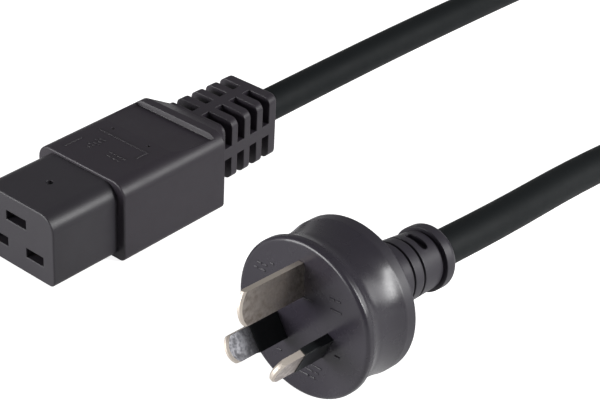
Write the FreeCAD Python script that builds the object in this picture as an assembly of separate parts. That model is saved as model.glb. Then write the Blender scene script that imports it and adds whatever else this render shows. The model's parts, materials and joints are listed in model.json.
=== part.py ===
"""Detachable power cord: a rectangular three-slot appliance connector, a round sheathed
cable with its spare length coiled and tied, and a round three-blade mains plug.

Millimetres, +Z up. The origin is the centre of the connector's front face, the face that
goes into the appliance inlet. The connector points along -Y, and +X is its right side.
"""
import FreeCAD
import Part

import math
import os

Vector = FreeCAD.Vector
X_AXIS = Vector(1, 0, 0)
Y_AXIS = Vector(0, 1, 0)
Z_AXIS = Vector(0, 0, 1)

# Cable
CABLE_DIAMETER = 9.2
CORE_DIAMETER = 2.9
WIRE_DIAMETER = 1.6
CORE_LAY_RADIUS = 1.9
CORE_TAIL_SHARE = 0.3
CONNECTOR_CORE_LEAD = 0.3
PLUG_CORE_LEAD = 0.12

# Connector nose and contacts
NOSE_WIDTH = 26.8
NOSE_TOP = 9.9
NOSE_BOTTOM = -10.2
NOSE_TOP_CORNER = 4.6
NOSE_BOTTOM_CORNER = 1.8
NOSE_LENGTH = 21.8
NOSE_EDGE = 0.4
INSERT_ROOT_LENGTH = 7.0
INSERT_ROOT_INSET = 2.5
DIMPLE_DIAMETER = 2.0
DIMPLE_DEPTH = 0.8
DIMPLE_Y = 11.4

LINE_PITCH = 13.0
EARTH_OFFSET = 8.0
EARTH_SLOT_WIDTH = 7.3
LINE_SLOT_WIDTH = 6.3
SLOT_HEIGHT = 2.7
SLOT_DEPTH = 5.0

CONTACT_WALL = 0.6
CONTACT_HEIGHT = 4.2
CONTACT_LENGTH = 13.6
CONTACT_SETBACK = 0.3
CHAMBER_CLEARANCE = 0.1
LIP_GAP = 1.2
LIP_LENGTH = 2.6
CRIMP_DIAMETER = 3.9
CRIMP_LENGTH = 8.0
CRIMP_BITE = 5.0

# Connector overmould
BODY_WIDTH = 31.6
BODY_TOP = 10.8
BODY_BOTTOM = -11.8
BODY_TOP_CORNER = 4.2
BODY_BOTTOM_CORNER = 2.0
BODY_BACK = 58.3
BODY_EDGE = 0.45
SHOULDER_LENGTH = 5.0

RECESS_FRONT = 42.2
RECESS_BACK = 55.6
RECESS_WIDTH = 28.4
RECESS_DEPTH = 1.5
RECESS_CORNER = 1.2
RECESS_PLAN_CORNER = 3.0

FRAME_LEFT = -9.6
FRAME_RIGHT = 8.3
FRAME_FRONT = 25.1
FRAME_BACK = 37.6
FRAME_BREAK = 31.3
FRAME_RETURN = 4.2
FRAME_LINE = 0.35
FRAME_HEIGHT = 0.2
MARK_DIAMETER = 0.9
MARK_DEPTH = 0.6
MARK_SPREAD = 13.0
MARK_BEHIND_FRAME = 2.6

# Connector strain relief
RELIEF_AXIS_Z = -0.1
RELIEF_ROOT_WIDTH = 20.8
RELIEF_ROOT_HEIGHT = 17.5
RELIEF_END_WIDTH = 17.9
RELIEF_END_HEIGHT = 18.8
RELIEF_CORNER = 2.2
RELIEF_CORE_DIAMETER = 12.4
RELIEF_SLOTS = 4
RELIEF_SLOT_WIDTH = 2.9
RELIEF_RING_WIDTH = 2.4
RELIEF_FIRST_SLOT = 0.9
RELIEF_LAST_RING = 3.2
RELIEF_TOP_RIB = 3.2
RELIEF_SIDE_RIB = 3.4
RELIEF_EDGE = 0.6
JACKET_ENTRY = 22.6

# Plug, in its own frame: origin at the face centre, +Y towards the cable
FACE_RADIUS = 19.5
FACE_EDGE = 1.0
FACE_RIM_LENGTH = 2.0
WAIST_RADIUS = 18.35
WAIST_Y = 6.0
FLANGE_RADIUS = 19.05
FLANGE_FRONT = 13.6
FLANGE_THICKNESS = 3.0
FLANGE_EDGE = 0.4
RIM_SAG = 0.35
COVE_SAG = 0.3
CONE_SAG = 0.8
SHOULDER_RADIUS = 13.5
SHOULDER_Y = 18.0
NECK_FRONT_RADIUS = 8.2
NECK_BACK_RADIUS = 7.3
NECK_START = 26.5
GROOVE_DEPTH = 0.55
GROOVE_WIDTH = 0.75
GROOVE_PLACES = (29.3, 33.1, 40.5)
BAND_END = GROOVE_PLACES[-1] + GROOVE_WIDTH
COLLAR_RADIUS = 8.2
PLUG_LENGTH = 45.2
COLLAR_EDGE = 1.8
WINDOW_WIDTH = 2.3
WINDOW_ARC = 6.2
WINDOW_DEPTH = 1.6
WINDOW_Y = 36.9
WINDOW_TURN = 15.0
NECK_DROOP = 2.7
DROOP_Y = 17.0
PLUG_JACKET_Y = 31.0

PIN_CIRCLE_RADIUS = 7.92
PIN_SPREAD_ANGLE = 30.0
EARTH_RADIUS = 10.31
LINE_PIN_WIDTH = 6.35
LINE_PIN_THICKNESS = 1.63
LINE_PIN_LENGTH = 16.8
EARTH_PIN_WIDTH = 8.4
EARTH_PIN_THICKNESS = 1.6
EARTH_PIN_LENGTH = 19.7
PIN_TIP_BULGE = 1.5
PIN_TIP_CHAMFER = 0.45
PIN_ROOT = 9.5
SLEEVE_LENGTH = 8.8
SLEEVE_WALL = 0.2
SLEEVE_ROOT = 3.0
CARRIER_RADIUS = 16.0
CARRIER_FRONT = 3.0
CARRIER_BACK = 9.0
TAIL_LENGTH = 4.5
TAIL_DIAMETER = 3.9
TAIL_BITE = 3.5

# Plug's place: where its flange centre stands, and how it is turned
PLUG_X = 81.05
PLUG_Y = 29.6
PLUG_TURN = 2.1
PLUG_TILT = 2.1
PLUG_ROLL = 6.0

# Coil of the spare length
COIL_X = 50.0
COIL_Y = 338.0
COIL_MID_DIAMETER = 12.0 * CABLE_DIAMETER
COIL_COLUMNS = 2
COIL_LAYERS = 2
COIL_LEG = 36.0
COIL_LEG_OVERLAP = 4.0
COIL_LEG_SHRINK = 0.1
COIL_CORNER = 4.0
TIE_WIDTH = 9.0
TIE_THICKNESS = 1.0
TIE_BITE = 0.4
PLUG_RUN_LEAD = 32.0
TIE_CORNER = 4.6

FLOOR = BODY_BOTTOM
CABLE_ON_FLOOR = FLOOR + 0.5 * CABLE_DIAMETER
RELIEF_END = (BODY_BACK + SHOULDER_LENGTH + RELIEF_FIRST_SLOT
              + RELIEF_SLOTS * RELIEF_SLOT_WIDTH
              + (RELIEF_SLOTS - 1) * RELIEF_RING_WIDTH + RELIEF_LAST_RING)
COIL_OUTER_TURN = 0.5 * (COIL_MID_DIAMETER + (COIL_COLUMNS - 1) * CABLE_DIAMETER)
COIL_LEFT_X = COIL_X - COIL_OUTER_TURN
COIL_RIGHT_X = COIL_X + COIL_OUTER_TURN
COIL_LEG_END_Y = COIL_Y - COIL_LEG
COIL_TOP_LAYER_Z = CABLE_ON_FLOOR + (COIL_LAYERS - 1) * CABLE_DIAMETER


def save(shape, name):
    """Write one named sub-part."""
    if not shape.isValid():
        print("not valid:", name)
    shape.exportStep(os.path.join("parts", name + ".step"))
    print(name, "solids", len(shape.Solids), "volume", round(shape.Volume, 1))


def block(x_span, y_span, z_span):
    """Box between two limits on each axis."""
    corner = Vector(x_span[0], y_span[0], z_span[0])
    return Part.makeBox(x_span[1] - x_span[0], y_span[1] - y_span[0], z_span[1] - z_span[0], corner)


def rounded_outline(width, bottom, top, bottom_radius, top_radius, y):
    """Closed wire in the plane Y = y: a rectangle with its own radius at top and bottom."""
    half = 0.5 * width
    lean = math.sqrt(0.5)

    def corner(cx, cz, radius, sx, sz):
        start = Vector(cx + sx * radius, y, cz)
        middle = Vector(cx + sx * lean * radius, y, cz + sz * lean * radius)
        end = Vector(cx, y, cz + sz * radius)
        return start, middle, end

    top_right = corner(half - top_radius, top - top_radius, top_radius, 1, 1)
    top_left = corner(-half + top_radius, top - top_radius, top_radius, -1, 1)
    low_left = corner(-half + bottom_radius, bottom + bottom_radius, bottom_radius, -1, -1)
    low_right = corner(half - bottom_radius, bottom + bottom_radius, bottom_radius, 1, -1)
    edges = [
        Part.Arc(*top_right).toShape(),
        Part.LineSegment(top_right[2], top_left[2]).toShape(),
        Part.Arc(*top_left).toShape(),
        Part.LineSegment(top_left[0], low_left[0]).toShape(),
        Part.Arc(*low_left).toShape(),
        Part.LineSegment(low_left[2], low_right[2]).toShape(),
        Part.Arc(*low_right).toShape(),
        Part.LineSegment(low_right[0], top_right[0]).toShape(),
    ]
    return Part.Wire(Part.__sortEdges__(edges))


def rounded_bar(width, bottom, top, bottom_radius, top_radius, y_span):
    """Bar along Y with a rounded outline."""
    outline = rounded_outline(width, bottom, top, bottom_radius, top_radius, y_span[0])
    return Part.Face(outline).extrude(Vector(0, y_span[1] - y_span[0], 0))


def rod(start, end, radius):
    """Round rod from one point to another."""
    axis = end - start
    return Part.makeCylinder(radius, axis.Length, start, axis)


def edges_at(shape, test):
    """Edges of a shape whose middle point and direction pass a test."""
    chosen = []
    for edge in shape.Edges:
        middle = edge.valueAt(0.5 * (edge.FirstParameter + edge.LastParameter))
        if test(edge, middle):
            chosen.append(edge)
    return chosen


def corner_arc(before, point, after):
    """Tangent arc at one corner of a route, as large as its two runs allow."""
    run_in = point - before
    run_out = after - point
    turn = run_in.getAngle(run_out)
    reach = 0.45 * min(run_in.Length, run_out.Length)
    radius = reach / math.tan(0.5 * turn)
    start = point - run_in.normalize() * reach
    end = point + run_out.normalize() * reach
    inward = (start + end) * 0.5 - point
    centre_distance = radius / math.cos(0.5 * turn)
    middle = point + inward.normalize() * (centre_distance - radius)
    return start, middle, end, radius


def route_wire(points):
    """Wire of straight runs joined by tangent arcs. Returns the wire and the arc radii."""
    edges = []
    radii = []
    last = points[0]
    for index in range(1, len(points) - 1):
        start, middle, end, radius = corner_arc(points[index - 1], points[index], points[index + 1])
        edges.append(Part.LineSegment(last, start).toShape())
        edges.append(Part.Arc(start, middle, end).toShape())
        radii.append(radius)
        last = end
    edges.append(Part.LineSegment(last, points[-1]).toShape())
    return Part.Wire(edges), radii


def tube_along(points, diameter):
    """Solid round tube along a route. Returns the solid, the route's length and the radii."""
    wire, radii = route_wire(points)
    heading = points[1] - points[0]
    ring = Part.Wire(Part.makeCircle(0.5 * diameter, points[0], heading))
    solid = wire.makePipeShell([ring], True, True)
    return solid, wire.Length, radii


def report_tube(name, solid, length, radii, diameter):
    """Print a tube's bend radii and compare its volume with section times length."""
    section = math.pi * 0.25 * diameter * diameter
    ratio = solid.Volume / (section * length)
    print(name, "length", round(length, 1), "volume ratio", round(ratio, 4),
          "radii", [round(radius) for radius in radii])


# Connector: places of the three contacts, seen in the X-Z plane
CONNECTOR_PLACES = {
    "earth": (0.0, 0.5 * EARTH_OFFSET, EARTH_SLOT_WIDTH),
    "line": (0.5 * LINE_PITCH, -0.5 * EARTH_OFFSET, LINE_SLOT_WIDTH),
    "neutral": (-0.5 * LINE_PITCH, -0.5 * EARTH_OFFSET, LINE_SLOT_WIDTH),
}
CONNECTOR_LAY = {"earth": 90.0, "line": 330.0, "neutral": 210.0}
PLUG_LAY = {"earth": 90.0, "line": 210.0, "neutral": 330.0}

CONTACT_FRONT = SLOT_DEPTH + CONTACT_SETBACK
CONTACT_BACK = CONTACT_FRONT + CONTACT_LENGTH
CRIMP_BACK = CONTACT_BACK + CRIMP_LENGTH
INSERT_BACK = NOSE_LENGTH + INSERT_ROOT_LENGTH
JACKET_START = RELIEF_END - JACKET_ENTRY


def contact_width(slot_width):
    """Outer width of the folded contact behind a slot."""
    return slot_width + 2 * CONTACT_WALL


def connector_contact(name):
    """Folded sheet sleeve with a pinched mouth, and a round crimp barrel behind it."""
    x, z, slot_width = CONNECTOR_PLACES[name]
    half_width = 0.5 * contact_width(slot_width)
    half_height = 0.5 * CONTACT_HEIGHT
    sleeve = block((x - half_width, x + half_width), (CONTACT_FRONT, CONTACT_BACK),
                   (z - half_height, z + half_height))
    hollow = block((x - half_width + CONTACT_WALL, x + half_width - CONTACT_WALL),
                   (CONTACT_FRONT, CONTACT_BACK - CONTACT_WALL),
                   (z - half_height + CONTACT_WALL, z + half_height - CONTACT_WALL))
    sleeve = sleeve.cut(hollow)
    inner = half_height - CONTACT_WALL
    for side in (-1, 1):
        profile = [
            Vector(x - half_width + CONTACT_WALL, CONTACT_FRONT + 0.5 * LIP_LENGTH, z + side * inner),
            Vector(x - half_width + CONTACT_WALL, CONTACT_FRONT + LIP_LENGTH, z + side * 0.5 * LIP_GAP),
            Vector(x - half_width + CONTACT_WALL, CONTACT_FRONT + 2 * LIP_LENGTH, z + side * inner),
        ]
        wire = Part.makePolygon(profile + [profile[0]])
        lip = Part.Face(wire).extrude(Vector(2 * half_width - 2 * CONTACT_WALL, 0, 0))
        sleeve = sleeve.fuse(lip)
    barrel = rod(Vector(x, CONTACT_BACK - CONTACT_WALL, z), Vector(x, CRIMP_BACK, z), 0.5 * CRIMP_DIAMETER)
    bore = rod(Vector(x, CRIMP_BACK - CRIMP_BITE, z), Vector(x, CRIMP_BACK, z), 0.5 * WIRE_DIAMETER)
    return sleeve.fuse(barrel).cut(bore).removeSplitter()


def connector_insert():
    """Hard nose with three slots, a chamber behind each, and a smaller root in the body."""
    nose = rounded_bar(NOSE_WIDTH, NOSE_BOTTOM, NOSE_TOP, NOSE_BOTTOM_CORNER, NOSE_TOP_CORNER,
                       (0.0, NOSE_LENGTH))
    front_edges = edges_at(nose, lambda edge, middle: abs(middle.y) < 1e-6)
    nose = nose.makeFillet(NOSE_EDGE, front_edges)
    root = rounded_bar(NOSE_WIDTH - 2 * INSERT_ROOT_INSET, NOSE_BOTTOM + INSERT_ROOT_INSET,
                       NOSE_TOP - INSERT_ROOT_INSET, NOSE_BOTTOM_CORNER,
                       NOSE_TOP_CORNER - INSERT_ROOT_INSET, (NOSE_LENGTH, INSERT_BACK))
    solid = nose.fuse(root)
    half_height = 0.5 * CONTACT_HEIGHT + CHAMBER_CLEARANCE
    for x, z, slot_width in CONNECTOR_PLACES.values():
        slot = block((x - 0.5 * slot_width, x + 0.5 * slot_width), (0.0, SLOT_DEPTH),
                     (z - 0.5 * SLOT_HEIGHT, z + 0.5 * SLOT_HEIGHT))
        half_width = 0.5 * contact_width(slot_width) + CHAMBER_CLEARANCE
        chamber = block((x - half_width, x + half_width), (SLOT_DEPTH, CONTACT_BACK),
                        (z - half_height, z + half_height))
        throat = rod(Vector(x, CONTACT_BACK, z), Vector(x, INSERT_BACK, z), 0.5 * CRIMP_DIAMETER)
        solid = solid.cut(slot).cut(chamber).cut(throat)
    dimple = rod(Vector(0, DIMPLE_Y, NOSE_TOP - DIMPLE_DEPTH), Vector(0, DIMPLE_Y, NOSE_TOP),
                 0.5 * DIMPLE_DIAMETER)
    return solid.cut(dimple).removeSplitter()


def lay_point(angle, y, axis_z):
    """Centre of one core where it leaves the sheath."""
    turn = math.radians(angle)
    return Vector(CORE_LAY_RADIUS * math.cos(turn), y, axis_z + CORE_LAY_RADIUS * math.sin(turn))


def core_route(crimp, lead, sheath_ends):
    """Route of a core, straight for a share of the way at the crimp and at the sheath."""
    span = sheath_ends[1].y - crimp.y
    first = Vector(crimp.x, crimp.y + lead * span, crimp.z)
    return [crimp, first] + sheath_ends


def core_and_wire(route, wire_start):
    """Insulation of one core as a tube, and the copper inside it with its bare end."""
    strand, _, _ = tube_along(route, WIRE_DIAMETER)
    bare_end = rod(wire_start, route[0], 0.5 * WIRE_DIAMETER)
    outer, _, _ = tube_along(route, CORE_DIAMETER)
    return outer.cut(strand), strand.fuse(bare_end).removeSplitter()


def connector_cores():
    """The three cores between the contacts' crimps and the cable's sheath."""
    pieces = {}
    tail_start = JACKET_START - CORE_TAIL_SHARE * (JACKET_START - CRIMP_BACK)
    for name, (x, z, _) in CONNECTOR_PLACES.items():
        ends = [lay_point(CONNECTOR_LAY[name], y, RELIEF_AXIS_Z) for y in (tail_start, JACKET_START)]
        route = core_route(Vector(x, CRIMP_BACK, z), CONNECTOR_CORE_LEAD, ends)
        wire_start = Vector(x, CRIMP_BACK - CRIMP_BITE, z)
        pieces[name] = core_and_wire(route, wire_start)
    return pieces


def relief_size(y):
    """Half width and half height of the strain relief at a distance along it."""
    start = BODY_BACK + SHOULDER_LENGTH
    share = (y - start) / (RELIEF_END - start)
    width = RELIEF_ROOT_WIDTH + share * (RELIEF_END_WIDTH - RELIEF_ROOT_WIDTH)
    height = RELIEF_ROOT_HEIGHT + share * (RELIEF_END_HEIGHT - RELIEF_ROOT_HEIGHT)
    return 0.5 * width, 0.5 * height


def relief_outline(y):
    """Outline of the strain relief at a distance along it."""
    half_width, half_height = relief_size(y)
    return rounded_outline(2 * half_width, RELIEF_AXIS_Z - half_height, RELIEF_AXIS_Z + half_height,
                           RELIEF_CORNER, RELIEF_CORNER, y)


def relief_slot_cutter(y_start):
    """Four corner quadrants of one slot, leaving the round core and the four ribs."""
    y_span = (y_start, y_start + RELIEF_SLOT_WIDTH)
    reach = RELIEF_ROOT_HEIGHT
    core = rod(Vector(0, y_span[0] - 1, RELIEF_AXIS_Z), Vector(0, y_span[1] + 1, RELIEF_AXIS_Z),
               0.5 * RELIEF_CORE_DIAMETER)
    cutters = []
    for side_x in (-1, 1):
        for side_z in (-1, 1):
            x_span = sorted((side_x * 0.5 * RELIEF_TOP_RIB, side_x * reach))
            z_span = sorted((RELIEF_AXIS_Z + side_z * 0.5 * RELIEF_SIDE_RIB,
                             RELIEF_AXIS_Z + side_z * reach))
            cutters.append(block(x_span, y_span, z_span).cut(core))
    return cutters


def label_frame():
    """Thin raised lines of the plain label field on the body's top."""
    height = (BODY_TOP - FRAME_HEIGHT, BODY_TOP + FRAME_HEIGHT)
    left = block((FRAME_LEFT, FRAME_LEFT + FRAME_LINE), (FRAME_FRONT, FRAME_BREAK), height)
    back = block((FRAME_LEFT, FRAME_RIGHT), (FRAME_BACK - FRAME_LINE, FRAME_BACK), height)
    right = block((FRAME_RIGHT - FRAME_LINE, FRAME_RIGHT), (FRAME_BACK - FRAME_RETURN, FRAME_BACK),
                  height)
    return [left, back.fuse(right)]


def finger_recess():
    """Cutter of the ramp in the top, round at its front corners, that ends in a steep wall."""
    half = 0.5 * RECESS_WIDTH
    above = BODY_TOP + RECESS_DEPTH
    profile = [
        Vector(-half, RECESS_FRONT, BODY_TOP),
        Vector(-half, RECESS_BACK, BODY_TOP - RECESS_DEPTH),
        Vector(-half, RECESS_BACK + 0.5 * RECESS_DEPTH, above),
        Vector(-half, RECESS_FRONT, above),
    ]
    wire = Part.makePolygon(profile + [profile[0]])
    cutter = Part.Face(wire).extrude(Vector(RECESS_WIDTH, 0, 0))

    def low_corner(edge, middle):
        along_y = edge.Length > 0.5 * (RECESS_BACK - RECESS_FRONT)
        return abs(abs(middle.x) - half) < 1e-6 and middle.z < BODY_TOP and along_y

    def front_corner(edge, middle):
        upright = abs(edge.Length - plan_height) < 1e-6
        return upright and abs(middle.y - RECESS_FRONT) < 1e-6

    ramp = cutter.makeFillet(RECESS_CORNER, edges_at(cutter, low_corner))
    plan_height = 3 * RECESS_DEPTH
    plan = block((-half, half), (RECESS_FRONT, RECESS_BACK + RECESS_DEPTH),
                 (above - plan_height, above))
    return ramp.common(plan.makeFillet(RECESS_PLAN_CORNER, edges_at(plan, front_corner)))


def connector_shell():
    """Outside of the moulded body with its strain relief, still solid inside."""
    body = rounded_bar(BODY_WIDTH, BODY_BOTTOM, BODY_TOP, BODY_BOTTOM_CORNER, BODY_TOP_CORNER,
                       (NOSE_LENGTH, BODY_BACK))
    rim = edges_at(body, lambda edge, middle: abs(middle.y - NOSE_LENGTH) < 1e-6)
    body = body.makeFillet(BODY_EDGE, rim)
    shoulder_end = BODY_BACK + SHOULDER_LENGTH
    back_outline = rounded_outline(BODY_WIDTH, BODY_BOTTOM, BODY_TOP, BODY_BOTTOM_CORNER,
                                   BODY_TOP_CORNER, BODY_BACK)
    shoulder = Part.makeLoft([back_outline, relief_outline(shoulder_end)], True, True)
    relief = Part.makeLoft([relief_outline(shoulder_end), relief_outline(RELIEF_END)], True, True)
    end_edges = edges_at(relief, lambda edge, middle: abs(middle.y - RELIEF_END) < 1e-6)
    relief = relief.makeFillet(RELIEF_EDGE, end_edges)
    pitch = RELIEF_SLOT_WIDTH + RELIEF_RING_WIDTH
    cutters = []
    for index in range(RELIEF_SLOTS):
        cutters += relief_slot_cutter(shoulder_end + RELIEF_FIRST_SLOT + index * pitch)
    relief = relief.cut(cutters)
    shell = body.fuse([shoulder, relief]).removeSplitter()
    shell = shell.cut(finger_recess())
    shell = shell.fuse(label_frame())
    frame_middle = 0.5 * (FRAME_LEFT + FRAME_RIGHT)
    mark_y = FRAME_BACK + MARK_BEHIND_FRAME
    marks = []
    for side in (-0.5, 0.5):
        mark_x = frame_middle + side * MARK_SPREAD
        marks.append(rod(Vector(mark_x, mark_y, BODY_TOP - MARK_DEPTH),
                         Vector(mark_x, mark_y, BODY_TOP + MARK_DEPTH), 0.5 * MARK_DIAMETER))
    return shell.cut(marks)


# Plug: local places of the three blades in the X-Z plane, and the turn of each about +Y
def plug_places():
    """Centre, width, thickness, length and turn of each blade."""
    spread = math.radians(PIN_SPREAD_ANGLE)
    reach = PIN_CIRCLE_RADIUS * math.cos(spread)
    drop = -PIN_CIRCLE_RADIUS * math.sin(spread)
    line_size = (LINE_PIN_WIDTH, LINE_PIN_THICKNESS, LINE_PIN_LENGTH)
    earth_size = (EARTH_PIN_WIDTH, EARTH_PIN_THICKNESS, EARTH_PIN_LENGTH)
    return {
        "earth": (0.0, EARTH_RADIUS, 0.0) + earth_size,
        "line": (-reach, drop, -PIN_SPREAD_ANGLE) + line_size,
        "neutral": (reach, drop, PIN_SPREAD_ANGLE) + line_size,
    }


def turned(shape, x, z, turn):
    """A shape made about the Y axis, turned about it and moved to its place."""
    shape = shape.copy()
    shape.rotate(Vector(0, 0, 0), Y_AXIS, turn)
    shape.translate(Vector(x, 0, z))
    return shape


def blade(width, thickness, length):
    """Flat blade that points along -Y, upright in Z, with a bowed and bevelled tip."""
    half = 0.5 * width
    shoulder = -length + PIN_TIP_BULGE
    low = Vector(-0.5 * thickness, PIN_ROOT, -half)
    high = Vector(-0.5 * thickness, PIN_ROOT, half)
    low_tip = Vector(-0.5 * thickness, shoulder, -half)
    high_tip = Vector(-0.5 * thickness, shoulder, half)
    nose = Vector(-0.5 * thickness, -length, 0)
    edges = [
        Part.LineSegment(low, high).toShape(),
        Part.LineSegment(high, high_tip).toShape(),
        Part.Arc(high_tip, nose, low_tip).toShape(),
        Part.LineSegment(low_tip, low).toShape(),
    ]
    solid = Part.Face(Part.Wire(edges)).extrude(Vector(thickness, 0, 0))

    def tip_edge(edge, middle):
        return abs(middle.y + length) < 1e-3

    return solid.makeChamfer(PIN_TIP_CHAMFER, edges_at(solid, tip_edge))


def plug_pin(name):
    """Blade with a round crimp tail behind it."""
    x, z, turn, width, thickness, length = plug_places()[name]
    tail = rod(Vector(0, PIN_ROOT - 1, 0), Vector(0, PIN_ROOT + TAIL_LENGTH, 0), 0.5 * TAIL_DIAMETER)
    bore = rod(Vector(0, PIN_ROOT + TAIL_LENGTH - TAIL_BITE, 0), Vector(0, PIN_ROOT + TAIL_LENGTH, 0),
               0.5 * WIRE_DIAMETER)
    solid = blade(width, thickness, length).fuse(tail).cut(bore).removeSplitter()
    return turned(solid, x, z, turn)


def plug_sleeve(name):
    """Insulating sleeve round the rear of a live blade, let into the plug's face."""
    x, z, turn, width, thickness, _ = plug_places()[name]
    outer = block((-0.5 * thickness - SLEEVE_WALL, 0.5 * thickness + SLEEVE_WALL),
                  (-SLEEVE_LENGTH, SLEEVE_ROOT),
                  (-0.5 * width - SLEEVE_WALL, 0.5 * width + SLEEVE_WALL))
    inner = block((-0.5 * thickness, 0.5 * thickness), (-SLEEVE_LENGTH, SLEEVE_ROOT),
                  (-0.5 * width, 0.5 * width))
    return turned(outer.cut(inner), x, z, turn)


def plug_carrier(pins):
    """Hard disc that holds the blades at their pitch inside the moulding."""
    disc = rod(Vector(0, CARRIER_FRONT, 0), Vector(0, CARRIER_BACK, 0), CARRIER_RADIUS)
    return disc.cut(list(pins.values()))


def neck_droop():
    """How the soft neck hangs down from the plug's stiff front."""
    return FreeCAD.Placement(Vector(0, 0, 0), FreeCAD.Rotation(X_AXIS, -NECK_DROOP),
                             Vector(0, DROOP_Y, 0))


def plug_cores():
    """The three cores between the blades' tails and the cable's sheath."""
    pieces = {}
    droop = neck_droop()
    tail_end = PIN_ROOT + TAIL_LENGTH
    tail_start = PLUG_JACKET_Y - CORE_TAIL_SHARE * (PLUG_JACKET_Y - tail_end)
    for name, place in plug_places().items():
        x, z = place[0], place[1]
        ends = [droop.multVec(lay_point(PLUG_LAY[name], y, 0.0)) for y in (tail_start, PLUG_JACKET_Y)]
        route = core_route(Vector(x, tail_end, z), PLUG_CORE_LEAD, ends)
        wire_start = Vector(x, tail_end - TAIL_BITE, z)
        pieces[name] = core_and_wire(route, wire_start)
    return pieces


def hollow_arc(start, end, sag):
    """Arc between two points of a turned profile, bowed towards the axis."""
    return Part.Arc(start, (start + end) * 0.5 - X_AXIS * sag, end)


def profile_point(radius, y):
    """Point of a turned profile at a radius from the Y axis."""
    return Vector(radius, y, 0)


def turned_body(edges):
    """Solid turned about the Y axis from the edges of its closed half profile."""
    face = Part.Face(Part.Wire([edge.toShape() for edge in edges]))
    return face.revolve(Vector(0, 0, 0), Y_AXIS, 360)


def rounded_rim(radius, face_y, step, way):
    """Arc from a flat end at face_y out to a cylinder, where the cylinder lies the given way."""
    lean = 1 - math.sqrt(0.5)
    return Part.Arc(profile_point(radius - step, face_y),
                    profile_point(radius - lean * step, face_y + way * lean * step),
                    profile_point(radius, face_y + way * step))


def plug_front():
    """Face, cove and flange of the plug as one turned body."""
    at = profile_point
    flange_back = FLANGE_FRONT + FLANGE_THICKNESS
    edges = [
        Part.LineSegment(at(0, 0), at(FACE_RADIUS - FACE_EDGE, 0)),
        rounded_rim(FACE_RADIUS, 0, FACE_EDGE, 1),
        Part.LineSegment(at(FACE_RADIUS, FACE_EDGE), at(FACE_RADIUS, FACE_RIM_LENGTH)),
        hollow_arc(at(FACE_RADIUS, FACE_RIM_LENGTH), at(WAIST_RADIUS, WAIST_Y), RIM_SAG),
        hollow_arc(at(WAIST_RADIUS, WAIST_Y), at(FLANGE_RADIUS, FLANGE_FRONT), COVE_SAG),
        Part.LineSegment(at(FLANGE_RADIUS, FLANGE_FRONT), at(FLANGE_RADIUS, flange_back - FLANGE_EDGE)),
        rounded_rim(FLANGE_RADIUS, flange_back, FLANGE_EDGE, -1),
        Part.LineSegment(at(FLANGE_RADIUS - FLANGE_EDGE, flange_back), at(0, flange_back)),
        Part.LineSegment(at(0, flange_back), at(0, 0)),
    ]
    return turned_body(edges)


def neck_radius(y):
    """Radius of the tapered neck at a distance along it."""
    share = (y - NECK_START) / (BAND_END - NECK_START)
    return NECK_FRONT_RADIUS + share * (NECK_BACK_RADIUS - NECK_FRONT_RADIUS)


def plug_neck():
    """Cone, grooved band and collar behind the flange, straight along Y."""
    at = profile_point
    collar_edge = PLUG_LENGTH - COLLAR_EDGE
    edges = [
        Part.LineSegment(at(0, FLANGE_FRONT), at(SHOULDER_RADIUS, FLANGE_FRONT)),
        Part.LineSegment(at(SHOULDER_RADIUS, FLANGE_FRONT), at(SHOULDER_RADIUS, SHOULDER_Y)),
        hollow_arc(at(SHOULDER_RADIUS, SHOULDER_Y), at(NECK_FRONT_RADIUS, NECK_START), CONE_SAG),
        Part.LineSegment(at(NECK_FRONT_RADIUS, NECK_START), at(NECK_BACK_RADIUS, BAND_END)),
        Part.LineSegment(at(NECK_BACK_RADIUS, BAND_END), at(COLLAR_RADIUS, BAND_END)),
        Part.LineSegment(at(COLLAR_RADIUS, BAND_END), at(COLLAR_RADIUS, collar_edge)),
        rounded_rim(COLLAR_RADIUS, PLUG_LENGTH, COLLAR_EDGE, -1),
        Part.LineSegment(at(COLLAR_RADIUS - COLLAR_EDGE, PLUG_LENGTH), at(0, PLUG_LENGTH)),
        Part.LineSegment(at(0, PLUG_LENGTH), at(0, FLANGE_FRONT)),
    ]
    solid = turned_body(edges)
    for place in GROOVE_PLACES:
        start = Vector(0, place, 0)
        end = Vector(0, place + GROOVE_WIDTH, 0)
        groove = rod(start, end, 2 * NECK_FRONT_RADIUS)
        solid = solid.cut(groove.cut(rod(start, end, neck_radius(place) - GROOVE_DEPTH)))
    return solid.cut(neck_window())


def neck_window():
    """Cutter of the long round-ended window across the top of the neck's band."""
    half = 0.5 * (WINDOW_ARC - WINDOW_WIDTH)
    low = neck_radius(WINDOW_Y) - WINDOW_DEPTH
    high = neck_radius(WINDOW_Y) + WINDOW_DEPTH
    middle = block((-half, half), (WINDOW_Y - 0.5 * WINDOW_WIDTH, WINDOW_Y + 0.5 * WINDOW_WIDTH),
                   (low, high))
    ends = []
    for side in (-half, half):
        ends.append(rod(Vector(side, WINDOW_Y, low), Vector(side, WINDOW_Y, high), 0.5 * WINDOW_WIDTH))
    window = middle.fuse(ends)
    window.rotate(Vector(0, 0, 0), Y_AXIS, WINDOW_TURN)
    return window


def plug_shell():
    """Outside of the moulded plug, still solid inside."""
    return plug_front().fuse(placed(plug_neck(), neck_droop()))


def plug_placement():
    """Where the plug lies: it rests on its flange, with the blades a little raised."""
    roll = FreeCAD.Rotation(Y_AXIS, -PLUG_ROLL)
    tilt = FreeCAD.Rotation(X_AXIS, -PLUG_TILT)
    turn = FreeCAD.Rotation(Z_AXIS, -PLUG_TURN)
    rotation = turn.multiply(tilt).multiply(roll)
    flange_back = FLANGE_FRONT + FLANGE_THICKNESS - FLANGE_EDGE
    lean = math.radians(PLUG_TILT)
    flange_height = FLOOR + FLANGE_RADIUS * math.cos(lean)
    back = rotation.multVec(Vector(0, flange_back, 0))
    origin = Vector(PLUG_X, PLUG_Y, flange_height) - back
    return FreeCAD.Placement(origin, rotation)


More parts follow.
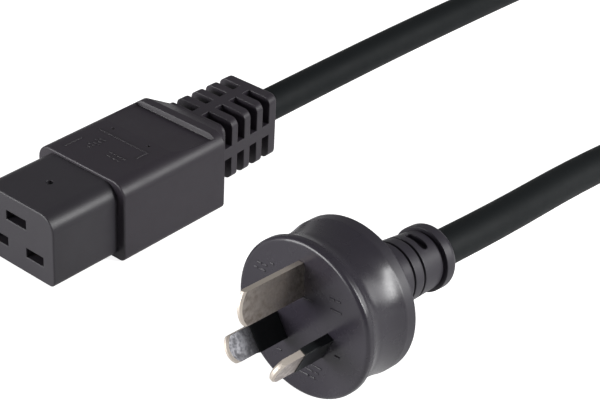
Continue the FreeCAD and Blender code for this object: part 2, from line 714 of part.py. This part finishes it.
def placed(shape, placement):
    """A copy of a plug piece at the plug's place."""
    shape = shape.copy()
    shape.Placement = placement.multiply(shape.Placement)
    return shape


def coil_ring():
    """Ring that fills the outer shape of the coiled turns, with the two legs that leave it."""
    inner = COIL_OUTER_TURN - (COIL_COLUMNS - 0.5) * CABLE_DIAMETER
    outer = COIL_OUTER_TURN + 0.5 * CABLE_DIAMETER
    top = FLOOR + COIL_LAYERS * CABLE_DIAMETER
    section = rounded_outline(outer - inner, FLOOR, top, COIL_CORNER, COIL_CORNER, 0.0)
    section.translate(Vector(0.5 * (inner + outer), 0, 0))
    ring = Part.Face(section).revolve(Vector(0, 0, 0), Z_AXIS, 360)
    ring.translate(Vector(COIL_X, COIL_Y, 0))
    radius = 0.5 * CABLE_DIAMETER - COIL_LEG_SHRINK
    legs = []
    for x, z in ((COIL_LEFT_X, CABLE_ON_FLOOR), (COIL_RIGHT_X, COIL_TOP_LAYER_Z)):
        legs.append(rod(Vector(x, COIL_LEG_END_Y, z), Vector(x, COIL_Y + COIL_LEG_OVERLAP, z), radius))
    return ring.fuse(legs).removeSplitter()


def coil_tie():
    """Closed strap round the coil's section on the far side, drawn a little into it."""
    inner = COIL_Y + COIL_OUTER_TURN - (COIL_COLUMNS - 0.5) * CABLE_DIAMETER + TIE_BITE
    outer = COIL_Y + COIL_OUTER_TURN + 0.5 * CABLE_DIAMETER - TIE_BITE
    top = FLOOR + COIL_LAYERS * CABLE_DIAMETER
    middle = 0.5 * (inner + outer)
    grip_width = outer - inner
    bar_width = grip_width + 2 * TIE_THICKNESS
    span = (-0.5 * TIE_WIDTH, 0.5 * TIE_WIDTH)
    bar = rounded_bar(bar_width, FLOOR, top - TIE_BITE + TIE_THICKNESS,
                      TIE_CORNER, TIE_CORNER, span)
    grip = rounded_bar(grip_width, FLOOR + TIE_THICKNESS, top - TIE_BITE,
                       TIE_CORNER - TIE_THICKNESS, TIE_CORNER - TIE_THICKNESS, span)
    strap = bar.cut(grip)
    strap.rotate(Vector(0, 0, 0), Z_AXIS, 90)
    strap.translate(Vector(COIL_X, middle, 0))
    return strap


def connector_run_points():
    """Hand-chosen route of the cable from the connector to the coil."""
    return [
        Vector(0, JACKET_START, RELIEF_AXIS_Z),
        Vector(0, 128, RELIEF_AXIS_Z),
        Vector(0, 196, -2.2),
        Vector(-3, 244, CABLE_ON_FLOOR),
        Vector(COIL_LEFT_X, 276, CABLE_ON_FLOOR),
        Vector(COIL_LEFT_X, COIL_LEG_END_Y, CABLE_ON_FLOOR),
    ]


def plug_run_points(placement):
    """Hand-chosen route of the cable from the plug to the coil."""
    neck = placement.multiply(neck_droop())
    return [
        neck.multVec(Vector(0, PLUG_JACKET_Y, 0)),
        neck.multVec(Vector(0, PLUG_JACKET_Y + PLUG_RUN_LEAD, 0)),
        Vector(80.6, 131, -1.9),
        Vector(84.5, 188, CABLE_ON_FLOOR),
        Vector(102, 242, -6.0),
        Vector(COIL_RIGHT_X, 278, COIL_TOP_LAYER_Z),
        Vector(COIL_RIGHT_X, COIL_LEG_END_Y, COIL_TOP_LAYER_Z),
    ]


def moulded_over(shell, pieces):
    """A moulding with the room of each piece inside it taken out, one piece at a time."""
    for piece in pieces:
        shell = shell.cut(piece)
    return shell


def build_connector(cable):
    """Make and write the connector's pieces, which end at the cable's sheath."""
    insert = connector_insert()
    save(insert, "connector_insert")
    inside = [insert, cable]
    cores = connector_cores()
    for name in CONNECTOR_PLACES:
        contact = connector_contact(name)
        core, wire = cores[name]
        save(contact, "connector_contact_" + name)
        save(core, "connector_core_" + name)
        save(wire, "connector_wire_" + name)
        inside += [contact, core, wire]
    save(moulded_over(connector_shell(), inside), "connector_overmould")


def build_plug(cable, placement):
    """Make the plug's pieces in its own frame and write them at its place."""
    pins = {name: plug_pin(name) for name in plug_places()}
    sleeves = {name: plug_sleeve(name) for name in ("line", "neutral")}
    cores = plug_cores()
    carrier = plug_carrier(pins)
    inside = [carrier]
    save(placed(carrier, placement), "plug_pin_carrier")
    for name, pin in pins.items():
        core, wire = cores[name]
        save(placed(pin, placement), "plug_pin_" + name)
        save(placed(core, placement), "plug_core_" + name)
        save(placed(wire, placement), "plug_wire_" + name)
        inside += [pin, core, wire]
    for name, sleeve in sleeves.items():
        save(placed(sleeve, placement), "plug_sleeve_" + name)
        inside.append(sleeve)
    shell = placed(moulded_over(plug_shell(), inside), placement)
    save(moulded_over(shell, [cable]), "plug_overmould")


def build_all():
    """Build the whole cord."""
    os.makedirs("parts", exist_ok=True)
    placement = plug_placement()
    first_run, first_length, first_radii = tube_along(connector_run_points(), CABLE_DIAMETER)
    last_run, last_length, last_radii = tube_along(plug_run_points(placement), CABLE_DIAMETER)
    save(first_run, "cable_connector_run")
    save(last_run, "cable_plug_run")
    report_tube("cable_connector_run", first_run, first_length, first_radii, CABLE_DIAMETER)
    report_tube("cable_plug_run", last_run, last_length, last_radii, CABLE_DIAMETER)
    tie = coil_tie()
    save(coil_ring().cut(tie), "cable_coil")
    save(tie, "coil_tie")
    build_connector(first_run)
    build_plug(last_run, placement)
    for point in plug_run_points(placement):
        print("plug run point", round(point.x, 2), round(point.y, 2), round(point.z, 2))


build_all()
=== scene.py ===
"""Looks of the detachable power cord: camera, light, the cable, and every finish.

Metres, in the frame of the CAD part. The connector's front face centre is the origin, the
connector points along -Y, and the cord lies on a floor just under it.
"""
import json
import math

import bpy
from mathutils import Matrix, Vector


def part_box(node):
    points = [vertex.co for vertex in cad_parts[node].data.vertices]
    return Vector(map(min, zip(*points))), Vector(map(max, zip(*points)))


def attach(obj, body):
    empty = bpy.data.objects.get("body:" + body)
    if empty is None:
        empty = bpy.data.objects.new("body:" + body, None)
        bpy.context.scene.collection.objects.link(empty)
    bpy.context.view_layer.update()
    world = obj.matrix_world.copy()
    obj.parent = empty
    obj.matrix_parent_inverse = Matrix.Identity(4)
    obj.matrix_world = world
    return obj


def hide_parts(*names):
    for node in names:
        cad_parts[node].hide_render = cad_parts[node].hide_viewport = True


MM = 0.001

# Camera, found by fitting the slots, edges and blades of both ends to the photograph
CAMERA_PLACE = Vector((286.39, -240.98, 240.73)) * MM
CAMERA_AZIMUTH = 44.85
CAMERA_ELEVATION = 31.78
CAMERA_LENS = 108.0
CAMERA_SENSOR = 36.0
CAMERA_SHIFT_X = 0.2485
CAMERA_REACH = 20.0

# Lamps: name, direction from the lit centre, width and height in metres, and radiance
LIT_CENTRE = Vector((0.05, 0.05, 0.0))
LAMP_DISTANCE = 1.0
LAMPS = [
    ("key_front_left", (-0.46, -0.87, 0.16), 0.70, 0.50, 11.2),
    ("strip_right", (0.79, 0.36, 0.50), 0.13, 0.60, 25.0),
    ("back_right", (0.73, 0.58, 0.36), 0.62, 0.40, 3.6),
]

# Sky and floor: strength as light, in reflections, and as the camera sees it
SKY_LIGHT = 0.15
SKY_REFLECTED = 0.20
SKY_SEEN = 1.0
FLOOR_LIGHT = 0.0
FLOOR_REFLECTED = 0.27
FLOOR_SEEN = 0.88
FLOOR_COLOUR = (0.75, 0.75, 0.75)
FLOOR_SIZE = 6.0
FLOOR_Z = -11.8 * MM
WHITE = (1.0, 1.0, 1.0)

# Noises of the finishes: scale per metre, detail and roughness
PATCH_NOISE = (90.0, 8.0, 0.70)
WEAR_NOISE = (120.0, 4.0, 0.60)
GRAIN_NOISE = (2600.0, 2.0, 0.60)
SCRATCH_NOISE = (900.0, 3.0, 0.70)
STAIN_DETAIL = 6.0
STAIN_ROUGHNESS = 0.62

# Skin of the moulded pieces: depth of the grain, how far sharp edges are softened, and how
# much smoother or rougher than its own roughness a worn place is
GRAIN_DEPTH = 0.008 * MM
EDGE_SOFTNESS = 0.45 * MM
EDGE_SAMPLES = 6
WEAR_SPAN = (0.3, 0.7)
WEAR_SMOOTHER = 0.05
WEAR_ROUGHER = 0.07

# The plug's flange and neck are more matt than its front: how far behind the face that starts
# and is full, and by how much the roughness rises
MATT_FROM = 13.2 * MM
MATT_FULL = 14.2 * MM
MATT_EXTRA = 0.14

# Moulded finishes: two close shades, roughness, specular level and strength of the grain
PLASTICS = {
    "soft_body": ((0.024, 0.019, 0.026), (0.033, 0.028, 0.037), 0.42, 0.50, 0.35),
    "hard_insert": ((0.024, 0.021, 0.027), (0.034, 0.031, 0.038), 0.42, 0.50, 0.35),
    "plug_body": ((0.025, 0.022, 0.030), (0.033, 0.029, 0.040), 0.26, 0.50, 0.20),
    "sleeve": ((0.008, 0.010, 0.011), (0.012, 0.014, 0.015), 0.35, 0.35, 0.15),
    "strap": ((0.020, 0.020, 0.022), (0.030, 0.030, 0.033), 0.80, 0.20, 1.00),
    "sheath": ((0.005, 0.007, 0.008), (0.008, 0.010, 0.011), 0.60, 0.20, 0.15),
    "core_earth": ((0.16, 0.42, 0.08), (0.60, 0.55, 0.05), 0.40, 0.40, 0.10),
    "core_line": ((0.16, 0.07, 0.03), (0.22, 0.10, 0.05), 0.40, 0.40, 0.10),
    "core_neutral": ((0.05, 0.16, 0.45), (0.08, 0.22, 0.55), 0.40, 0.40, 0.10),
}

# Metal finishes: clean and stained colour, roughness, and scale of the stains
METALS = {
    "earth_blade": ((0.42, 0.38, 0.35), (0.20, 0.17, 0.15), 0.34, 600.0),
    # The next two are one metal for the two live blades, painted lighter as a painted reflection
    # and darker as painted shade
    "live_blade_painted_reflection": ((0.56, 0.50, 0.47), (0.37, 0.33, 0.31), 0.30, 700.0),
    "live_blade_painted_shade": ((0.22, 0.22, 0.235), (0.12, 0.12, 0.13), 0.38, 900.0),
    "contact_brass": ((0.75, 0.58, 0.30), (0.55, 0.40, 0.18), 0.30, 300.0),
    "copper_wire": ((0.80, 0.42, 0.26), (0.60, 0.30, 0.17), 0.35, 400.0),
}

# How stains and scratches show on the metals
STAIN_SPAN = (0.38, 0.62)
STAIN_ROUGHER = 0.18
SCRATCH_STRENGTH = 0.25
SCRATCH_DEPTH = 0.02 * MM

# Cut edges of the blades: the pale colour of the painted highlight on them, their roughness, and
# the shares of facing squarely out of the sheet at which a spot is all flat and all edge
PAINTED_EDGE_HIGHLIGHT = (0.66, 0.60, 0.54)
CUT_EDGE_ROUGHNESS = 0.6
FLAT_FACING = 0.95
EDGE_FACING = 0.70

# Finish of each blade, and how far it is turned about the plug's axis, in degrees
LIVE_BLADE_TURN = 30.0
BLADES = {
    "earth": ("earth_blade", 0.0),
    # Both live blades are one metal: the line blade's finish holds painted shade, the neutral
    # blade's a painted reflection
    "line": ("live_blade_painted_shade", LIVE_BLADE_TURN),
    "neutral": ("live_blade_painted_reflection", -LIVE_BLADE_TURN),
}

# Cable: sizes, and how finely its curve is drawn
CABLE_DIAMETER = 9.2 * MM
CABLE_CURVE_ORDER = 3
CABLE_ROUND_STEPS = 8
CABLE_LONG_STEPS = 6
CABLE_ON_FLOOR = FLOOR_Z + 0.5 * CABLE_DIAMETER

# Coil: two columns and two layers, a diameter apart
COIL_CENTRE = Vector((50.0, 338.0)) * MM
COIL_MID_DIAMETER = 12.0 * CABLE_DIAMETER
COIL_TURNS = 3.5
COIL_POINTS_A_TURN = 24
COIL_INNER_RADIUS = 0.5 * (COIL_MID_DIAMETER - CABLE_DIAMETER)
COIL_OUTER_RADIUS = 0.5 * (COIL_MID_DIAMETER + CABLE_DIAMETER)

# Turn angles, in degrees along the coil, where the cable changes column or layer
MOVE_IN = (285.0, 345.0)
RISE = (600.0, 660.0)
MOVE_OUT = (915.0, 975.0)

# Routes of the two runs in millimetres, the same points as the CAD solids follow
CONNECTOR_RUN = [
    (0.0, 63.6, -0.1),
    (0.0, 128.0, -0.1),
    (0.0, 196.0, -2.2),
    (-3.0, 244.0, -7.2),
    (-9.8, 276.0, -7.2),
    (-9.8, 302.0, -7.2),
]
PLUG_RUN = [
    (109.8, 302.0, 2.0),
    (109.8, 278.0, 2.0),
    (102.0, 242.0, -6.0),
    (84.5, 188.0, -7.2),
    (80.6, 131.0, -1.9),
    (82.99, 76.2, 3.37),
    (81.66, 44.34, 6.04),
]

# Plain raised dashes on the plug's face and the connector's label field. Each row starts at a
# place to the right of and above the middle of its field and holds dashes of these lengths,
# all in millimetres
DASH_WIDTH = 0.45
DASH_GAP = 0.45
DASH_HEIGHT = 0.14
PLUG_ROWS = [
    (-14.6, 7.6, (1.1, 1.9)),
    (-13.9, 9.1, (1.5, 1.3)),
    (-9.8, 10.3, (1.2,)),
    (8.2, 8.7, (1.3, 1.3)),
    (8.4, 6.1, (3.2,)),
    (0.2, 5.6, (1.0, 1.6)),
    (-1.2, -10.6, (2.2, 1.3, 3.0)),
    (-0.9, -12.2, (1.6, 2.6, 1.2)),
    (-0.2, -13.8, (2.8, 1.4)),
    (10.0, -5.3, (1.4,)),
    (-7.2, -10.9, (1.4,)),
]
CONNECTOR_FIELD = Vector((-0.65, 31.35, 10.8)) * MM
CONNECTOR_ROWS = [
    (-5.2, 2.6, (1.0, 0.6)),
    (-5.6, 1.4, (0.6, 1.2)),
    (-5.0, 0.2, (1.2, 0.6)),
    (-5.6, -1.0, (0.8, 0.8)),
    (-4.8, -2.2, (1.4,)),
    (1.4, -0.4, (1.2, 0.8, 1.6, 1.0)),
    (2.2, -2.0, (1.6, 1.2, 0.8)),
]

# Where a mix node has its share, low value, high value and result, for each kind of value
MIX_SOCKETS = {"FLOAT": (0, 2, 3, 0), "RGBA": (0, 6, 7, 2)}


class Nodes:
    """Short way to build a node tree. A value may be a plain one or another node's socket."""

    def __init__(self, tree):
        self.tree = tree
        tree.nodes.clear()

    def plug(self, socket, value):
        """Set a socket, or link another to it."""
        if isinstance(value, bpy.types.NodeSocket):
            self.tree.links.new(value, socket)
        else:
            socket.default_value = value

    def add(self, kind, settings=None, **inputs):
        """A node with its settings, and its inputs by name."""
        node = self.tree.nodes.new(kind)
        for name, value in (settings or {}).items():
            setattr(node, name, value)
        for name, value in inputs.items():
            self.plug(node.inputs[name.replace("_", " ")], value)
        return node

    def add_in_order(self, kind, settings, values):
        """A node with its settings, and its first inputs in order."""
        node = self.add(kind, settings)
        for socket, value in zip(node.inputs, values):
            self.plug(socket, value)
        return node

    def arithmetic(self, operation, *values):
        """Result of one step of arithmetic."""
        return self.add_in_order("ShaderNodeMath", {"operation": operation}, values).outputs[0]

    def dot(self, vector, way):
        """How far a vector reaches along a way."""
        settings = {"operation": "DOT_PRODUCT"}
        return self.add_in_order("ShaderNodeVectorMath", settings, (vector, way)).outputs["Value"]

    def noise(self, place, scale, detail, roughness):
        """Soft noise from 0 to 1 over a place."""
        node = self.add("ShaderNodeTexNoise", Vector=place, Scale=scale, Detail=detail,
                        Roughness=roughness)
        return node.outputs[0]

    def spread(self, value, source=(0.0, 1.0), target=(0.0, 1.0)):
        """A number moved from one range to another, and kept in it."""
        node = self.add("ShaderNodeMapRange", Value=value,
                        From_Min=source[0], From_Max=source[1],
                        To_Min=target[0], To_Max=target[1])
        return node.outputs[0]

    def between(self, kind, share, low, high):
        """A number (FLOAT) or a colour (RGBA) between two others, by a share from 0 to 1."""
        node = self.add("ShaderNodeMix", {"data_type": kind})
        share_at, low_at, high_at, result_at = MIX_SOCKETS[kind]
        self.plug(node.inputs[share_at], share)
        self.plug(node.inputs[low_at], low)
        self.plug(node.inputs[high_at], high)
        return node.outputs[result_at]


def solid(colour):
    """A colour that hides what is behind it."""
    return (*colour, 1.0)


def put_in_scene(name, data):
    """A new object of the scene."""
    thing = bpy.data.objects.new(name, data)
    bpy.context.scene.collection.objects.link(thing)
    return thing


def new_material(name):
    """A material without nodes yet, and the way to add them."""
    material = bpy.data.materials.new(name)
    material.use_nodes = True
    return material, Nodes(material.node_tree)


def make_camera():
    """Camera at the photograph's viewpoint, with the shift that its crop needs."""
    data = bpy.data.cameras.new("camera")
    data.lens = CAMERA_LENS
    data.sensor_width = CAMERA_SENSOR
    data.shift_x = CAMERA_SHIFT_X
    data.clip_end = CAMERA_REACH
    azimuth = math.radians(CAMERA_AZIMUTH)
    elevation = math.radians(CAMERA_ELEVATION)
    forward = Vector((-math.sin(azimuth) * math.cos(elevation),
                      math.cos(azimuth) * math.cos(elevation),
                      -math.sin(elevation)))
    right = Vector((math.cos(azimuth), math.sin(azimuth), 0.0))
    up = right.cross(forward)
    rotation = Matrix((right, up, -forward)).transposed().to_4x4()
    camera = put_in_scene("camera", data)
    camera.matrix_world = Matrix.Translation(CAMERA_PLACE) @ rotation
    bpy.context.scene.camera = camera


def make_lights():
    """Flat lamps that stand a way off, each in its own direction, and face the cord."""
    for name, direction, width, height, radiance in LAMPS:
        data = bpy.data.lights.new(name, "AREA")
        data.shape = "RECTANGLE"
        data.size = width
        data.size_y = height
        data.energy = radiance * math.pi * width * height
        away = Vector(direction).normalized()
        lamp = put_in_scene(name, data)
        lamp.location = LIT_CENTRE + away * LAMP_DISTANCE
        lamp.rotation_euler = (-away).to_track_quat("-Z", "Y").to_euler()


def ray_strength(nodes, light, reflected, seen):
    """Strength of a glow: one value as light, one in reflections, and one for the camera."""
    path = nodes.add("ShaderNodeLightPath")
    direct = nodes.arithmetic("MAXIMUM", path.outputs["Is Camera Ray"],
                              path.outputs["Is Transmission Ray"])
    mirrored = path.outputs["Is Glossy Ray"]
    strength = nodes.arithmetic("MULTIPLY_ADD", direct, seen - light, light)
    return nodes.arithmetic("MULTIPLY_ADD", mirrored, reflected - light, strength)


def make_world():
    """White for the camera, and a plain soft grey for light and reflections."""
    world = bpy.data.worlds.new("studio")
    bpy.context.scene.world = world
    world.use_nodes = True
    nodes = Nodes(world.node_tree)
    strength = ray_strength(nodes, SKY_LIGHT, SKY_REFLECTED, SKY_SEEN)
    sky = nodes.add("ShaderNodeBackground", Color=solid(WHITE), Strength=strength)
    nodes.add("ShaderNodeOutputWorld", Surface=sky.outputs[0])


def make_floor():
    """Pale floor that looks white to the camera and keeps a soft shadow."""
    half = 0.5 * FLOOR_SIZE
    signs = ((-1, -1), (1, -1), (1, 1), (-1, 1))
    corners = [(right * half, back * half, FLOOR_Z) for right, back in signs]
    mesh = bpy.data.meshes.new("floor")
    mesh.from_pydata(corners, [], [(0, 1, 2, 3)])
    material, nodes = new_material("floor_white")
    matt = nodes.add("ShaderNodeBsdfDiffuse", Color=solid(FLOOR_COLOUR))
    strength = ray_strength(nodes, FLOOR_LIGHT, FLOOR_REFLECTED, FLOOR_SEEN)
    glow = nodes.add("ShaderNodeEmission", Color=solid(WHITE), Strength=strength)
    both = nodes.add_in_order("ShaderNodeAddShader", {}, (matt.outputs[0], glow.outputs[0]))
    nodes.add("ShaderNodeOutputMaterial", Surface=both.outputs[0])
    mesh.materials.append(material)
    put_in_scene("floor", mesh)


def matt_behind(nodes, place, roughness, mount):
    """A roughness that rises behind a mount's face, from where the plug's flange begins."""
    back = -Vector(mount["axis"]).normalized()
    face = Vector(mount["pos_m"]).dot(back)
    depth = nodes.dot(place, back)
    extra = nodes.spread(depth, (face + MATT_FROM, face + MATT_FULL), (0.0, MATT_EXTRA))
    return nodes.arithmetic("ADD", roughness, extra)


def moulded_plastic(name, matt_mount=None):
    """Moulded plastic: two close shades in soft patches, worn places, and a fine-grained skin."""
    dark, light, roughness, specular, grain = PLASTICS[name]
    material, nodes = new_material(name)
    place = nodes.add("ShaderNodeTexCoord").outputs["Object"]
    shade = nodes.between("RGBA", nodes.noise(place, *PATCH_NOISE), solid(dark), solid(light))
    worn = (roughness - WEAR_SMOOTHER, roughness + WEAR_ROUGHER)
    gloss = nodes.spread(nodes.noise(place, *WEAR_NOISE), WEAR_SPAN, worn)
    if matt_mount is not None:
        gloss = matt_behind(nodes, place, gloss, matt_mount)
    edges = nodes.add("ShaderNodeBevel", {"samples": EDGE_SAMPLES}, Radius=EDGE_SOFTNESS)
    skin = nodes.add("ShaderNodeBump", Strength=grain, Distance=GRAIN_DEPTH,
                     Height=nodes.noise(place, *GRAIN_NOISE), Normal=edges.outputs[0])
    shader = nodes.add("ShaderNodeBsdfPrincipled", Base_Color=shade, Roughness=gloss,
                       Specular_IOR_Level=specular, Normal=skin.outputs[0])
    nodes.add("ShaderNodeOutputMaterial", Surface=shader.outputs[0])
    return material


def edge_share(nodes, normal, flat):
    """0 on the flats of a sheet whose flats face one way, and 1 on its cut edges and tip."""
    facing = nodes.arithmetic("ABSOLUTE", nodes.dot(normal, flat))
    return nodes.spread(facing, (FLAT_FACING, EDGE_FACING))


def metal(name, flat=None):
    """Bare or plated metal with soft stains and scratches, and a pale painted highlight on the
    edges where it is cut sheet.
    """
    clean, stained, roughness, stain_scale = METALS[name]
    material, nodes = new_material(name)
    source = nodes.add("ShaderNodeTexCoord")
    place = source.outputs["Object"]
    stains = nodes.noise(place, stain_scale, STAIN_DETAIL, STAIN_ROUGHNESS)
    stains = nodes.spread(stains, STAIN_SPAN)
    tint = nodes.between("RGBA", stains, solid(clean), solid(stained))
    gloss = nodes.spread(stains, target=(roughness, roughness + STAIN_ROUGHER))
    if flat is not None:
        edge = edge_share(nodes, source.outputs["Normal"], flat)
        # The cut edges and tip get a pale colour as a painted highlight, and a rougher finish
        tint = nodes.between("RGBA", edge, tint, solid(PAINTED_EDGE_HIGHLIGHT))
        gloss = nodes.between("FLOAT", edge, gloss, CUT_EDGE_ROUGHNESS)
    scratched = nodes.add("ShaderNodeBump", Strength=SCRATCH_STRENGTH, Distance=SCRATCH_DEPTH,
                          Height=nodes.noise(place, *SCRATCH_NOISE))
    shader = nodes.add("ShaderNodeBsdfPrincipled", Base_Color=tint, Metallic=1.0,
                       Roughness=gloss, Normal=scratched.outputs[0])
    nodes.add("ShaderNodeOutputMaterial", Surface=shader.outputs[0])
    return material


def node_centre(name):
    """Middle of a CAD node's box."""
    low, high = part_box(name)
    return (Vector(low) + Vector(high)) * 0.5


def plug_face_axes(mount):
    """Middle of the plug's face, its right, its up (towards the earth blade) and its way out."""
    middle = Vector(mount["pos_m"])
    out = Vector(mount["axis"]).normalized()
    up = node_centre("plug_pin_earth") - middle
    up = (up - out * up.dot(out)).normalized()
    return middle, up.cross(out), up, out


def paint(parts, names, material):
    """Give CAD nodes a new material."""
    for name in names:
        materials = parts[name].data.materials
        materials.clear()
        materials.append(material)


def dress_blades(parts, mount):
    """Finishes of the plug's blades: a painted highlight on the cut edges, which follows the way
    that each blade is turned, painted shade on the line blade and a painted reflection on the
    neutral blade.
    """
    _, across, _, out = plug_face_axes(mount)
    for end, (finish, turn) in BLADES.items():
        flat = Matrix.Rotation(math.radians(turn), 3, out) @ across
        paint(parts, ["plug_pin_" + end], metal(finish, flat))


def dress_nodes(parts, mount):
    """Finishes of all the CAD nodes; the mount gives the place and way of the plug's face."""
    paint(parts, ["connector_overmould"], moulded_plastic("soft_body"))
    paint(parts, ["connector_insert", "plug_pin_carrier"], moulded_plastic("hard_insert"))
    paint(parts, ["plug_overmould"], moulded_plastic("plug_body", mount))
    paint(parts, ["plug_sleeve_line", "plug_sleeve_neutral"], moulded_plastic("sleeve"))
    paint(parts, ["coil_tie"], moulded_plastic("strap"))
    dress_blades(parts, mount)
    brass = metal("contact_brass")
    copper = metal("copper_wire")
    for end in ("earth", "line", "neutral"):
        paint(parts, ["connector_contact_" + end], brass)
        paint(parts, ["connector_wire_" + end, "plug_wire_" + end], copper)
        core = moulded_plastic("core_" + end)
        paint(parts, ["connector_core_" + end, "plug_core_" + end], core)


def smooth_share(value, span):
    """0 before a span, 1 after it, and a smooth step between."""
    share = (value - span[0]) / (span[1] - span[0])
    share = min(1.0, max(0.0, share))
    return share * share * (3.0 - 2.0 * share)


def coil_points():
    """Control points of the coil's turns: out, in, up, and out again on the second layer."""
    step = 360.0 / COIL_POINTS_A_TURN
    # The curve runs inside its control points, at this share of their radius
    inside = 0.75 + 0.25 * math.cos(math.radians(step))
    points = []
    for index in range(int(COIL_TURNS * COIL_POINTS_A_TURN) + 1):
        angle = index * step
        outness = 1.0 - smooth_share(angle, MOVE_IN) + smooth_share(angle, MOVE_OUT)
        radius = COIL_INNER_RADIUS + outness * (COIL_OUTER_RADIUS - COIL_INNER_RADIUS)
        height = CABLE_ON_FLOOR + smooth_share(angle, RISE) * CABLE_DIAMETER
        turn = math.radians(angle)
        points.append((COIL_CENTRE.x - radius / inside * math.cos(turn),
                       COIL_CENTRE.y + radius / inside * math.sin(turn), height))
    return points


def make_cable():
    """The whole cable as one smooth curve, from the connector through the coil to the plug."""
    points = [tuple(v * MM for v in point) for point in CONNECTOR_RUN]
    points += coil_points()
    points += [tuple(v * MM for v in point) for point in PLUG_RUN]
    curve = bpy.data.curves.new("cable", "CURVE")
    curve.dimensions = "3D"
    curve.bevel_depth = 0.5 * CABLE_DIAMETER
    curve.bevel_resolution = CABLE_ROUND_STEPS
    curve.resolution_u = CABLE_LONG_STEPS
    spline = curve.splines.new("NURBS")
    spline.points.add(len(points) - 1)
    for control, point in zip(spline.points, points):
        control.co = (*point, 1.0)
    spline.order_u = CABLE_CURVE_ORDER
    spline.use_endpoint_u = True
    curve.materials.append(moulded_plastic("sheath"))
    cable = put_in_scene("cable", curve)
    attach(cable, "root")
    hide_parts("cable_connector_run", "cable_coil", "cable_plug_run")


def add_dash(points, faces, corner, along, across, rise):
    """One raised dash: a low block, sunk as deep as it stands out, without its hidden floor."""
    first = len(points)
    outline = (corner, corner + along, corner + along + across, corner + across)
    for lift in (-rise, rise):
        points.extend(place + lift for place in outline)
    top = first + len(outline)
    faces.append(tuple(top + index for index in range(len(outline))))
    for index in range(len(outline)):
        after = (index + 1) % len(outline)
        faces.append((first + index, first + after, top + after, top + index))


def raised_rows(name, rows, axes, material):
    """Rows of plain raised dashes on a flat face, as one piece."""
    middle, right, up, out = axes
    across = up * DASH_WIDTH * MM
    rise = out * DASH_HEIGHT * MM
    points = []
    faces = []
    for start, height, lengths in rows:
        reach = start
        for length in lengths:
            corner = middle + (right * reach + up * height) * MM
            add_dash(points, faces, corner, right * length * MM, across, rise)
            reach += length + DASH_GAP
    mesh = bpy.data.meshes.new(name)
    mesh.from_pydata(points, [], faces)
    mesh.materials.append(material)
    piece = put_in_scene(name, mesh)
    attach(piece, "root")


def make_marks(parts, mount):
    """Plain marks on the plug's face and the connector's label field, in the finish of the piece
    that each stands on.
    """
    plug_skin = parts["plug_overmould"].data.materials[0]
    raised_rows("plug_marks", PLUG_ROWS, plug_face_axes(mount), plug_skin)
    body_skin = parts["connector_overmould"].data.materials[0]
    field = (CONNECTOR_FIELD, Vector((1, 0, 0)), Vector((0, 1, 0)), Vector((0, 0, 1)))
    raised_rows("connector_marks", CONNECTOR_ROWS, field, body_skin)


with open("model.json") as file:
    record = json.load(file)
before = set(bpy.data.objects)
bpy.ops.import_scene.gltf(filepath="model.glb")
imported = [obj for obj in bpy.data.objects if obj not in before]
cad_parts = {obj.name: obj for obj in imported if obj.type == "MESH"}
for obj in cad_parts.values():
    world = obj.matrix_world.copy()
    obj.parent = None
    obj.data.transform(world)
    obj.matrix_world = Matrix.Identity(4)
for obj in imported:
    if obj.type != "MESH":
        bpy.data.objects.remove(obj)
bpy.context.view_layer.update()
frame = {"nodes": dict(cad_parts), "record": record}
mounts = {mount["name"]: mount for mount in frame["record"]["mounts"]}
bpy.context.scene.view_settings.view_transform = "Standard"
make_camera()
make_lights()
make_world()
make_floor()
dress_nodes(frame["nodes"], mounts["plug_face"])
make_cable()
make_marks(frame["nodes"], mounts["plug_face"])
